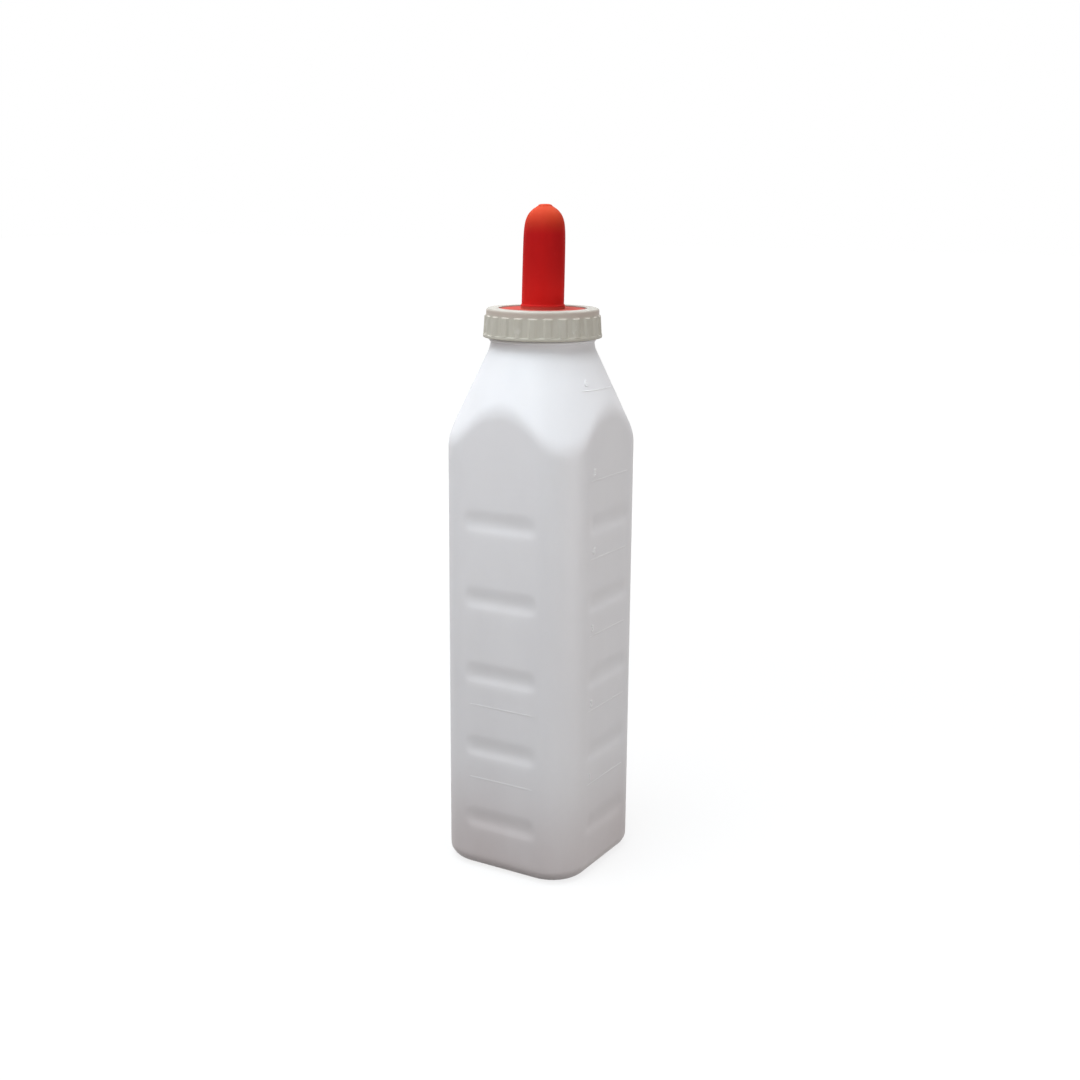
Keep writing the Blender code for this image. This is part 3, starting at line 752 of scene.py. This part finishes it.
def makeDigits():
    # one for each line on the flat face and one more for the line on the cone
    upright = Matrix(((0, 0, 1, 0), (1, 0, 0, 0), (0, 1, 0, 0), (0, 0, 0, 1)))
    joined = bmesh.new()
    for number in range(1, graduations["Count"] + 2):
        mesh = digitMesh(str(number))
        if number <= graduations["Count"]:
            height = graduations["First Height"] + (number - 1) * graduations["Step"] + digits["above"]
            place = Matrix.Translation((bottleShape["half"], digits["left"], height))
        else:
            height = coneMark["Start Height"] + digits["above"]
            place = (Matrix.Rotation(coneMark["Start Angle"] + digits["coneTurn"], 4, "Z")
                     @ Matrix.Translation((coneRadius(height), 0.0, height))
                     @ Matrix.Rotation(-math.atan(bottleShape["coneSlope"]), 4, "Y"))
        mesh.transform(place @ upright)
        joined.from_mesh(mesh)
        bpy.data.meshes.remove(mesh)
    bmesh.ops.remove_doubles(joined, verts=joined.verts, dist=0.000002)
    bmesh.ops.recalc_face_normals(joined, faces=joined.faces)
    for face in joined.faces:
        face.smooth = False
    whole = bpy.data.meshes.new("levelDigits")
    joined.to_mesh(whole)
    joined.free()
    return newObject("levelDigits", whole, paintedBrightMarkPlastic)


levelDigits = makeDigits()
print("digits made")

# screw ring, a turned body whose ribs are raised by a node tree
ringShape = {
    "bottom": 0.35277,
    "top": 0.37137,
    "plate": 0.0020,
    "bore": 0.0350,
    "opening": 0.0283,
    "rimRadius": 0.0383,
    "rimHeight": 0.0021,
    "wallBase": 0.0371,
    "wallTop": 0.0362,
    "topRound": 0.0025,
    "mouthRound": 0.0004,
    "rimRounds": (0.0008, 0.0005, 0.0003),       # of the bead, below, above and where it meets the wall
    "openingRounds": (0.0006, 0.0003),
    "wallStart": 0.0001,                         # above the bead
    "wallRows": 16,
    "crownBand": (-0.0010, 0.0012),              # close rows where the ribs end: start and height
    "crownRows": 8,
    "arcSteps": 6,
    "columns": 480,
}
ribs = {
    "Rib Count": 24.0,
    "First Angle": math.radians(5.7),
    "Rib Width": 0.0048,
    "Proud": 0.00100,
    "Foot": ringShape["bottom"] + 0.00215,
    "Crown": ringShape["top"] - 0.0043,
    "Slope": 0.0007,
    "Softness": 0.0010,
    "Inner Limit": 0.0356,
}


def makeRibTree():
    tree = bpy.data.node_groups.new("ribbedWall", "GeometryNodeTree")
    addSockets(tree,
               [("Geometry", "NodeSocketGeometry", None)]
               + [(label, "NodeSocketFloat", value) for label, value in ribs.items()]
               + [("Material", "NodeSocketMaterial", None)],
               [("Geometry", "NodeSocketGeometry")])
    given = addNode(tree, "NodeGroupInput").outputs
    spot = addNode(tree, "GeometryNodeInputPosition").outputs[0]
    x, y, z = addNode(tree, "ShaderNodeSeparateXYZ", {0: spot}).outputs
    flat = addNode(tree, "ShaderNodeCombineXYZ", {0: x, 1: y}).outputs[0]
    radius = addNode(tree, "ShaderNodeVectorMath", {0: flat}, operation="LENGTH").outputs["Value"]
    outward = addNode(tree, "ShaderNodeVectorMath", {0: flat}, operation="NORMALIZE").outputs[0]
    angle = addMath(tree, "SUBTRACT", addMath(tree, "ARCTAN2", y, x), given["First Angle"])
    turns = addMath(tree, "DIVIDE", addMath(tree, "MULTIPLY", angle, given["Rib Count"]), math.tau)
    away = addMath(tree, "ABSOLUTE", addMath(tree, "SUBTRACT", turns, addMath(tree, "ROUND", turns)))
    spacing = addMath(tree, "DIVIDE", addMath(tree, "MULTIPLY", radius, math.tau), given["Rib Count"])
    away = addMath(tree, "MULTIPLY", away, spacing)
    half = addMath(tree, "MULTIPLY", given["Rib Width"], 0.5)
    across = addNode(tree, "ShaderNodeMapRange",
                     {"Value": away, "From Min": addMath(tree, "ADD", half, given["Softness"]),
                      "From Max": addMath(tree, "SUBTRACT", half, given["Softness"])},
                     interpolation_type="SMOOTHSTEP").outputs[0]
    crown = addNode(tree, "ShaderNodeMapRange",
                    {"Value": z, "From Min": given["Crown"],
                     "From Max": addMath(tree, "SUBTRACT", given["Crown"], given["Slope"])}).outputs[0]
    foot = addMath(tree, "GREATER_THAN", z, given["Foot"])
    outside = addMath(tree, "GREATER_THAN", radius, given["Inner Limit"])
    rise = addMath(tree, "MULTIPLY", addMath(tree, "MULTIPLY", across, crown),
                   addMath(tree, "MULTIPLY", foot, outside))
    rise = addMath(tree, "MULTIPLY", rise, given["Proud"])
    offset = addNode(tree, "ShaderNodeVectorMath", {0: outward, "Scale": rise}, operation="SCALE").outputs[0]
    wall = addNode(tree, "GeometryNodeSetPosition", {"Geometry": given["Geometry"], "Offset": offset})
    return finishTree(tree, wall.outputs[0], given["Material"])


def makeRing():
    shape = ringShape
    bottom, top = shape["bottom"], shape["top"]
    below, above, inner = shape["rimRounds"]
    lean = (shape["wallBase"] - shape["wallTop"]) / (top - shape["topRound"] - bottom - shape["rimHeight"])

    def wallSpot(height, rounding=0):
        return (shape["wallTop"] + (top - shape["topRound"] - height) * lean, height, rounding)

    rimTop = bottom + shape["rimHeight"]
    outline = [(shape["bore"], bottom, shape["mouthRound"]), (shape["rimRadius"], bottom, below),
               (shape["rimRadius"], rimTop, above), wallSpot(rimTop + shape["wallStart"], inner)]
    bandStart, bandHeight = shape["crownBand"]
    wallHeight = ribs["Crown"] - bandHeight - bottom - shape["rimHeight"]
    for i in range(1, shape["wallRows"] + 1):
        outline.append(wallSpot(rimTop + wallHeight * i / shape["wallRows"]))
    for i in range(shape["crownRows"] + 1):
        outline.append(wallSpot(ribs["Crown"] + bandStart + bandHeight * i / shape["crownRows"]))
    outside, inside = shape["openingRounds"]
    outline += [(shape["wallTop"], top, shape["topRound"]), (shape["opening"], top, outside),
                (shape["opening"], top - shape["plate"], inside), (shape["bore"], top - shape["plate"], 0)]
    profile = roundedProfile(outline, shape["arcSteps"])
    body = loftRows("screwRing", turnedRows(profile, evenAngles(shape["columns"])), loop=True)
    return runTree("screwRing", makeRibTree(), ribs, ringPlastic, source=body)


screwRing = makeRing()
ringThread = dict(neckThread, **{"Wall Radius": ringShape["bore"], "Start Height": 0.35513, "Turns": 0.999,
                                 "Facing": math.pi / 2})
ringRidge = runTree("ringThread", ridgeTree, ringThread, ringPlastic)
print("screw ring:", len(screwRing.data.polygons), "faces")

# teat, one turned rubber piece with its collar, its flange and the bead that centres it in the neck
teatShape = {
    "flangeBottom": 0.36667,
    "flangeTop": 0.36907,
    "flangeRadius": 0.0344,
    "plateau": 0.37055,
    "plateauRadius": 0.02805,
    "collarRadius": 0.0142,
    "collarTop": 0.37377,
    "baseRadius": 0.0135,
    "wall": 0.0032,
    "feedHole": 0.00125,
    "locatorRadius": 0.0309,
    "locatorWidth": 0.0020,
    "locatorDepth": 0.0020,
    "plate": 0.0024,             # thickness of the raised middle
    "plateBore": 0.0127,         # where the teat's inside opens below it
    "cavity": ((0.0042, 0.4310), (0.0068, 0.4289), (0.0083, 0.4262), (0.0092, 0.4230),
               (0.0099, 0.4180), (0.0101, 0.4080)),   # radius and height, from the tip down
    "cavityRadius": 0.0103,
    "holeHeights": (0.4345, 0.4325),
    "ventRadius": 0.0008,
    "ventDistance": 0.0210,
    "ventReach": 0.0010,         # how far the drill for the vent passes both faces
    "ventColumns": 24,
    "lean": math.radians(1.0),
    "leanTowards": math.radians(30.8),
    "seamAngles": (math.radians(30.8), math.radians(210.8)),
    "seamProud": 0.00010,
    "seamHalf": 0.00032,
    "seamEnd": 0.0060,           # the seams run out at this radius, near the tip
    "seamColumns": (-1.2, -0.6, 0.0, 0.6, 1.2),
    "rounds": (0.0003, 0.0004, 0.0006),   # of small, common and soft corners
    "plateauFootRound": 0.0002,
    "collarRound": 0.0005,
    "collarSlope": 0.0007,
    "collarStep": 0.0001,
    "columns": 144,
    "arcSteps": 5,
    "sideSteps": 3,
    "tipSteps": 2,
}
# radius and height of the teat's side, from the collar to the tip
teatSide = [(0.01350, 0.37420), (0.01347, 0.3850), (0.01340, 0.4000), (0.01333, 0.4080), (0.01316, 0.4169),
            (0.01284, 0.4213), (0.01255, 0.4237), (0.01220, 0.4254), (0.01175, 0.42685), (0.01120, 0.4282),
            (0.01040, 0.4297), (0.00960, 0.4308), (0.00816, 0.4323), (0.00690, 0.4333), (0.00560, 0.43420),
            (0.00495, 0.43468)]
teatTip = [(0.00476, 0.43462), (0.00458, 0.43490), (0.00425, 0.43532), (0.00360, 0.43572), (0.00260, 0.43598),
           (0.00165, 0.43607), (0.00135, 0.43602), (0.00125, 0.43580)]


def teatProfile():
    # what lies below and inside the teat's side, the side with the tip, and the hole's upper end
    shape = teatShape
    small, edge, soft = shape["rounds"]
    locator, flange, collar = shape["locatorRadius"], shape["flangeRadius"], shape["collarRadius"]
    inner = locator - shape["locatorWidth"]
    plateau, middle = shape["plateau"], shape["plateauRadius"]
    underside = plateau - shape["plate"]
    bottom = shape["flangeBottom"]
    foot = bottom - shape["locatorDepth"]
    hole = [(shape["feedHole"], height) for height in shape["holeHeights"]]
    corners = [(radius, height, 0)
               for radius, height in (hole[1], *shape["cavity"], (shape["cavityRadius"], plateau))]
    corners += [(shape["plateBore"], underside, soft), (inner - shape["locatorWidth"], underside, soft),
                (inner - edge, bottom, small), (inner, foot, edge), (locator, foot, soft),
                (locator, bottom, small), (flange, bottom, edge), (flange, shape["flangeTop"], edge),
                (middle, shape["flangeTop"], shape["plateauFootRound"]), (middle, plateau, soft),
                (collar, plateau, shape["collarRound"]),
                (collar, shape["collarTop"] - shape["collarSlope"], shape["collarRound"]),
                (shape["baseRadius"] + shape["collarStep"], shape["collarTop"], small)]
    # of the last corner's arc only the first point is used, because the side goes on from there
    lower = roundedProfile(corners, shape["arcSteps"])[:-shape["arcSteps"]]
    side = curvedProfile(teatSide, shape["sideSteps"]) + curvedProfile(teatTip, shape["tipSteps"])
    return lower, side, hole[:1]


def drillVent(solid):
    shape = teatShape
    ends = (shape["flangeBottom"] - shape["ventReach"], shape["plateau"] + shape["ventReach"])
    rows = [[(0.0, shape["ventDistance"], ends[0])]]
    angles = evenAngles(shape["ventColumns"])
    for row in turnedRows([(shape["ventRadius"], height) for height in ends], angles):
        rows.append([(x, shape["ventDistance"] + y, z) for x, y, z in row])
    rows.append([(0.0, shape["ventDistance"], ends[1])])
    drill = newObject("ventDrill", loftRows("ventDrill", rows), redRubber)
    cut = solid.modifiers.new("vent", "BOOLEAN")
    cut.object = drill
    cut.operation = "DIFFERENCE"
    cut.solver = "EXACT"
    solid.data = bpy.data.meshes.new_from_object(solid.evaluated_get(bpy.context.evaluated_depsgraph_get()))
    solid.modifiers.clear()
    solid.data.shade_smooth()
    bpy.data.objects.remove(drill)


def makeTeat():
    shape = teatShape
    extra = [seam + math.radians(side) for seam in shape["seamAngles"] for side in shape["seamColumns"]]
    angles = evenAngles(shape["columns"], extra)
    lower, side, hole = teatProfile()
    rows = []
    for radius, height in lower + side + hole:
        row = []
        for angle in angles:
            reach = radius
            if radius > shape["seamEnd"] and (radius, height) in side:
                away = min(abs((angle - seam + math.pi) % math.tau - math.pi) for seam in shape["seamAngles"])
                reach += shape["seamProud"] * max(0.0, 1 - away * radius / shape["seamHalf"])
            shift = max(0.0, height - shape["collarTop"]) * math.tan(shape["lean"])
            row.append((reach * math.cos(angle) + shift * math.cos(shape["leanTowards"]),
                        reach * math.sin(angle) + shift * math.sin(shape["leanTowards"]), height))
        rows.append(row)
    solid = newObject("teat", loftRows("teat", rows, loop=True), redRubber)
    drillVent(solid)
    return solid


teat = makeTeat()
print("teat:", len(teat.data.polygons), "faces")

# studio, a pale floor and large soft lamps
studio = {
    "ambient": (0.10, 0.10, 0.10),
    "floorAlbedo": 0.10,         # for the light that it throws back on the object
    "floorShade": 0.20,          # for its shadows as the camera sees them, on top of its glow
    "floorGlow": {"From Min": 0.3, "From Max": 1.6, "To Min": 0.80, "To Max": 1.0},   # by distance
    "floorReach": 12.0,
    "floorHeight": -0.0002,
    "lamps": (
        # name, width, height, azimuth, elevation, distance, height aimed at, brightness, colour
        ("keyLamp", 1.00, 1.00, 3, 46, 1.20, 0.33, 1.72, (0.89, 0.97, 1.02)),
        ("highLeftLamp", 0.80, 0.80, -20, 62, 1.20, 0.33, 2.46, (0.88, 0.97, 1.03)),
        ("leftLamp", 0.80, 0.80, -75, 50, 1.20, 0.33, 2.05, (0.97, 0.99, 1.02)),
        ("topLamp", 1.20, 1.20, 0, 88, 1.10, 0.33, 1.75, (0.96, 0.99, 1.03)),
        ("lowLeftLamp", 0.80, 0.36, -35, 0, 1.00, 0.20, 2.05, (1.12, 1.0, 0.96)),
        ("lowRightLamp", 0.60, 0.36, 65, 0, 0.80, 0.20, 1.48, (1.08, 1.0, 0.97)),
        ("rightLamp", 0.60, 0.36, 85, 0, 0.80, 0.20, 2.20, (1.02, 0.99, 0.98)),
        ("backRightLamp", 0.90, 0.90, 150, 55, 1.40, 0.25, 1.20, (1.0, 1.0, 1.0)),
        ("backLeftLamp", 0.90, 0.90, -140, 55, 1.40, 0.25, 1.20, (1.0, 1.0, 1.0)),
    ),
}


def seenDirectly(tree):
    # 1 for what the camera sees itself, in a reflection or through glass
    path = addNode(tree, "ShaderNodeLightPath").outputs
    seen = addMath(tree, "MAXIMUM", path["Is Camera Ray"], path["Is Glossy Ray"])
    return addMath(tree, "MAXIMUM", seen, path["Is Transmission Ray"])


def makeWorld():
    world = bpy.data.worlds.new("studioWorld")
    world.use_nodes = True
    tree = world.node_tree
    back = tree.nodes["Background"]
    colour = mixColours(tree, seenDirectly(tree), studio["ambient"], (1.0, 1.0, 1.0))
    tree.links.new(colour, back.inputs["Color"])
    scene.world = world


def makeFloor():
    material = bpy.data.materials.new("paleFloor")
    material.use_nodes = True
    tree = material.node_tree
    tree.nodes.remove(tree.nodes["Principled BSDF"])
    place = addNode(tree, "ShaderNodeTexCoord").outputs["Object"]
    distance = addNode(tree, "ShaderNodeVectorMath", {0: place}, operation="LENGTH").outputs["Value"]
    glow = addNode(tree, "ShaderNodeMapRange", {"Value": distance, **studio["floorGlow"]},
                   interpolation_type="SMOOTHSTEP").outputs[0]
    light = addNode(tree, "ShaderNodeEmission", {"Strength": glow}).outputs[0]
    soft, plain = [addNode(tree, "ShaderNodeBsdfDiffuse", {"Color": (shade, shade, shade, 1.0)}).outputs[0]
                   for shade in (studio["floorShade"], studio["floorAlbedo"])]
    seen = addNode(tree, "ShaderNodeAddShader", {0: light, 1: soft}).outputs[0]
    whole = addNode(tree, "ShaderNodeMixShader", {0: seenDirectly(tree), 1: plain, 2: seen}).outputs[0]
    tree.links.new(whole, tree.nodes["Material Output"].inputs["Surface"])
    reach, height = studio["floorReach"], studio["floorHeight"]
    mesh = bpy.data.meshes.new("floor")
    mesh.from_pydata([(-reach, -reach, height), (reach, -reach, height), (reach, reach, height),
                      (-reach, reach, height)], [], [(0, 1, 2, 3)])
    newObject("floor", mesh, material)


def addLamp(name, width, height, azimuth, elevation, distance, aimHeight, brightness, colour):
    data = bpy.data.lights.new(name, "AREA")
    data.shape = "RECTANGLE"
    data.size = width
    data.size_y = height
    data.energy = brightness * math.pi * width * height
    data.color = colour
    around, up = math.radians(azimuth), math.radians(elevation)
    away = Vector((math.sin(around) * math.cos(up), -math.cos(around) * math.cos(up), math.sin(up)))
    lamp = bpy.data.objects.new(name, data)
    lamp.matrix_world = (Matrix.Translation(Vector((0.0, 0.0, aimHeight)) + away * distance)
                         @ (-away).to_track_quat("-Z", "Y").to_matrix().to_4x4())
    lamp.visible_camera = False
    scene.collection.objects.link(lamp)


makeWorld()
makeFloor()
for lamp in studio["lamps"]:
    addLamp(*lamp)
print("floor and lamps placed")

# what moves with what
for piece in (bottleShell, levelLines, frontLines, shoulderLine, levelDigits, neckRidge):
    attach(piece, "bottle")
    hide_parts("bottle")
for piece in (screwRing, ringRidge):
    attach(piece, "cap_ring")
    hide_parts("cap_ring")
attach(teat, "nipple")
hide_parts("nipple")
